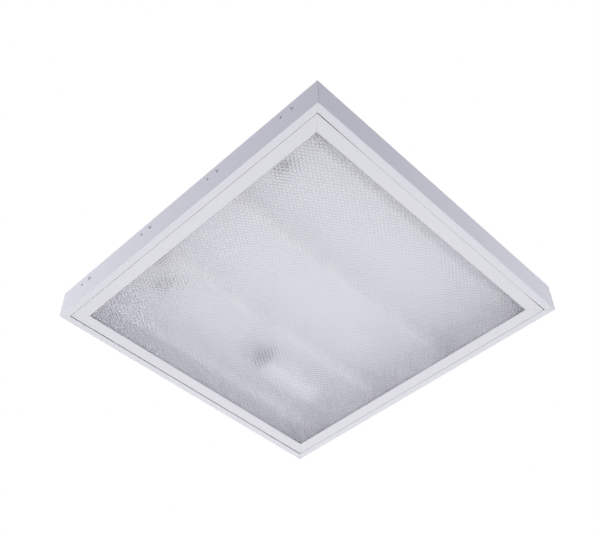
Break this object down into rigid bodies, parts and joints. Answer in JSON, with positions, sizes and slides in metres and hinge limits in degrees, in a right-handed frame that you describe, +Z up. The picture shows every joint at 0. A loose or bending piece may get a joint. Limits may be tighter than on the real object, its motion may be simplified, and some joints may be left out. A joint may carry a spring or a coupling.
{
  "type": "surface mounted ceiling light",
  "caption": "Flat surface mounted ceiling light: folded white steel housing, hinged frame with a clear prismatic panel, straight lamps with holders, ballast and wiring inside.",
  "frame": {"origin": "centre of the housing's upper face, which lies against the ceiling", "axes": "+Z up into the ceiling, +X along the lamps, +Y towards the door's hinge side"},
  "size_m": [0.603, 0.625, 0.058],
  "materials": {
    "white_sheet": "white powder coat on sheet steel",
    "white_rail": "white powder coat on aluminium extrusion",
    "clear_prisms": "clear moulded prismatic sheet",
    "zinc_steel": "zinc plated sheet steel",
    "screw_steel": "zinc plated steel",
    "spring_steel": "spring steel",
    "lamp_glass": "glass tube with a white coating inside",
    "cap_aluminium": "pressed aluminium",
    "contact_brass": "drawn brass",
    "white_holder": "white moulded plastic",
    "grey_rotor": "light grey moulded plastic",
    "ballast_case": "white lacquered steel",
    "ballast_board": "green circuit board",
    "dark_block": "dark grey moulded plastic",
    "grey_block": "grey moulded plastic",
    "black_rubber": "black rubber",
    "earth_lead": "green and yellow insulation",
    "white_lead": "white insulation"
  },
  "bodies": {
    "housing": {"housing_pan": "white_sheet", "hinge_end_wall": "white_sheet", "catch_end_wall": "white_sheet", "hinge_brackets": "zinc_steel", "lampholder_brackets_left": "zinc_steel", "lampholder_brackets_right": "zinc_steel", "earth_stud": "zinc_steel", "ballast_base": "zinc_steel", "bracket_screws": "screw_steel", "ballast_screws": "screw_steel", "terminal_screws": "screw_steel", "earth_nut": "screw_steel", "hinge_pins": "screw_steel", "catch_springs": "spring_steel", "lampholder_contacts": "contact_brass", "terminal_clamps": "contact_brass", "lampholders_1": "white_holder", "lampholders_2": "white_holder", "lampholders_3": "white_holder", "lampholders_4": "white_holder", "catch_body_left": "white_holder", "catch_body_right": "white_holder", "lead_clips": "white_holder", "ballast_cover": "ballast_case", "ballast_board": "ballast_board", "ballast_input_block": "dark_block", "terminal_block": "dark_block", "ballast_output_block": "grey_block", "cable_grommets": "black_rubber", "earth_lead": "earth_lead", "live_lead": "white_lead", "neutral_lead": "white_lead", "lamp_leads": "white_lead"},
    "door": {"frame_rail_hinge": "white_rail", "frame_rail_catch": "white_rail", "frame_rail_left": "white_rail", "frame_rail_right": "white_rail", "prismatic_panel": "clear_prisms", "corner_keys": "zinc_steel", "panel_clips": "spring_steel", "hinge_lugs": "zinc_steel"},
    "lamp_1": {"lamp_tube_1": "lamp_glass", "lamp_caps_1": "cap_aluminium", "lamp_pins_1": "contact_brass", "lamp_rotors_1": "grey_rotor"},
    "lamp_2": {"lamp_tube_2": "lamp_glass", "lamp_caps_2": "cap_aluminium", "lamp_pins_2": "contact_brass", "lamp_rotors_2": "grey_rotor"},
    "lamp_3": {"lamp_tube_3": "lamp_glass", "lamp_caps_3": "cap_aluminium", "lamp_pins_3": "contact_brass", "lamp_rotors_3": "grey_rotor"},
    "lamp_4": {"lamp_tube_4": "lamp_glass", "lamp_caps_4": "cap_aluminium", "lamp_pins_4": "contact_brass", "lamp_rotors_4": "grey_rotor"},
    "catch_left": {"catch_plunger_left": "screw_steel"},
    "catch_right": {"catch_plunger_right": "screw_steel"}
  },
  "joints": [
    {"name": "door_hinge", "type": "hinge", "parent": "housing", "child": "door", "pos_m": [0, 0.2914, -0.053], "axis": [1, 0, 0], "range_deg": [0, 95]},
    {"name": "lamp_turn_1", "type": "hinge", "parent": "housing", "child": "lamp_1", "pos_m": [0, -0.2475, -0.026], "axis": [-1, 0, 0], "range_deg": [0, 90]},
    {"name": "lamp_turn_2", "type": "hinge", "parent": "housing", "child": "lamp_2", "pos_m": [0, -0.0825, -0.026], "axis": [-1, 0, 0], "range_deg": [0, 90]},
    {"name": "lamp_turn_3", "type": "hinge", "parent": "housing", "child": "lamp_3", "pos_m": [0, 0.0825, -0.026], "axis": [-1, 0, 0], "range_deg": [0, 90]},
    {"name": "lamp_turn_4", "type": "hinge", "parent": "housing", "child": "lamp_4", "pos_m": [0, 0.2475, -0.026], "axis": [-1, 0, 0], "range_deg": [0, 90]},
    {"name": "catch_push_left", "type": "slide", "parent": "housing", "child": "catch_left", "axis": [0, -1, 0], "range_m": [0, 0.003], "stiffness_N_per_m": 800, "springref_m": -0.004, "deforming": ["catch_springs"]},
    {"name": "catch_push_right", "type": "slide", "parent": "housing", "child": "catch_right", "axis": [0, -1, 0], "range_m": [0, 0.003], "stiffness_N_per_m": 800, "springref_m": -0.004, "deforming": ["catch_springs"]}
  ]
}
